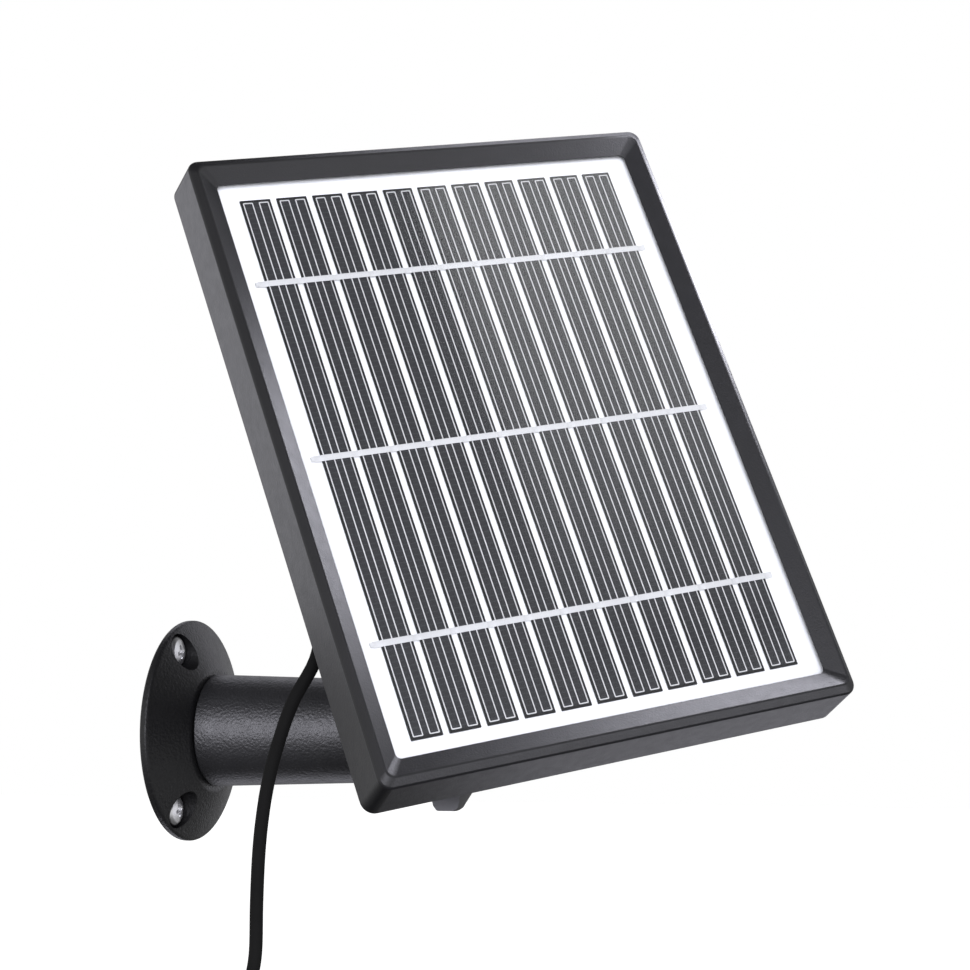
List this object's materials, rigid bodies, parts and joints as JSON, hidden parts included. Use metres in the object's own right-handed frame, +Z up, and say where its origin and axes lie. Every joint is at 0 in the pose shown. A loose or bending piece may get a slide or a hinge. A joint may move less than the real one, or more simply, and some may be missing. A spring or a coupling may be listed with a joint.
{
  "type": "solar charging panel",
  "caption": "Rectangular solar charging panel for a security camera, on a ball-jointed arm with a round wall flange and a hanging lead.",
  "frame": {"origin": "middle of the wall flange's back face, in the plane of the wall", "axes": "+Y into the wall, so the arm runs along -Y into the room; +Z up; +X to the right as seen from the room"},
  "size_m": [0.1338, 0.1881, 0.3569],
  "materials": {
    "bracket_plastic": "satin with a fine grain",
    "housing_plastic": "satin with a fine grain",
    "grip_plastic": "satin",
    "liner_plastic": "natural acetal",
    "zinc": "bright zinc plate",
    "steel": "bright",
    "brass": "turned",
    "silicon": "dark silicon with fine printed lines",
    "tinned_ribbon": "tinned copper",
    "white_sheet": "white film",
    "clear_sheet": "clear",
    "foam": "closed-cell foam",
    "board": "green solder mask",
    "rubber": "matte moulded rubber",
    "cable_jacket": "matte black jacket"
  },
  "bodies": {
    "flange": {"wall_flange": "bracket_plastic", "wall_screw_upper": "zinc", "wall_screw_lower": "zinc", "wall_screw_far": "zinc", "centre_washer": "steel"},
    "arm": {"arm_tube": "bracket_plastic", "centre_bolt": "steel", "socket_cup": "liner_plastic"},
    "lock_ring": {"lock_ring": "grip_plastic"},
    "ball": {"pivot_ball": "grip_plastic", "cord_lead": "cable_jacket", "cord_coil": "cable_jacket", "coil_tie": "rubber", "cord_tail": "cable_jacket", "plug_body": "rubber", "plug_shell": "steel", "plug_seal": "rubber"},
    "panel": {"ball_stud": "steel", "stud_lock_nut": "zinc", "front_frame": "housing_plastic", "rear_cover": "housing_plastic", "cover_sheet": "clear_sheet", "backsheet": "white_sheet", "panel_seal": "foam", "cell_strip_01": "silicon", "cell_strip_02": "silicon", "cell_strip_03": "silicon", "cell_strip_04": "silicon", "cell_strip_05": "silicon", "cell_strip_06": "silicon", "cell_strip_07": "silicon", "cell_strip_08": "silicon", "cell_strip_09": "silicon", "cell_strip_10": "silicon", "cell_strip_11": "silicon", "bus_ribbon_1": "tinned_ribbon", "bus_ribbon_2": "tinned_ribbon", "bus_ribbon_3": "tinned_ribbon", "cover_screw_1": "zinc", "cover_screw_2": "zinc", "cover_screw_3": "zinc", "cover_screw_4": "zinc", "cover_screw_5": "zinc", "cover_screw_6": "zinc", "threaded_insert_left": "brass", "threaded_insert_right": "brass", "junction_box": "housing_plastic", "box_gasket": "rubber", "box_lid": "housing_plastic", "lid_screw_1": "zinc", "lid_screw_2": "zinc", "lid_screw_3": "zinc", "lid_screw_4": "zinc", "circuit_board": "board", "blocking_diode": "rubber", "terminal_block": "board", "gland_body": "rubber", "gland_nut": "rubber", "strain_relief": "rubber"}
  },
  "joints": [
    {"name": "arm_roll", "type": "hinge", "parent": "flange", "child": "arm", "pos_m": [0, 0, 0], "axis": [0, -1, 0], "range_deg": [-15, 15]},
    {"name": "ring_turn", "type": "hinge", "parent": "arm", "child": "lock_ring", "pos_m": [0, -0.079, 0], "axis": [0, -1, 0], "range_deg": [0, 180]},
    {"name": "pan", "type": "hinge", "parent": "arm", "child": "ball", "pos_m": [0, -0.0915, 0], "axis": [0, 0, 1], "range_deg": [-4, 103]},
    {"name": "tilt", "type": "hinge", "parent": "ball", "child": "panel", "pos_m": [0, -0.0915, 0], "axis": [-0.6504, 0.7596, 0], "range_deg": [-30, 15], "deforming": ["cord_lead"]}
  ]
}
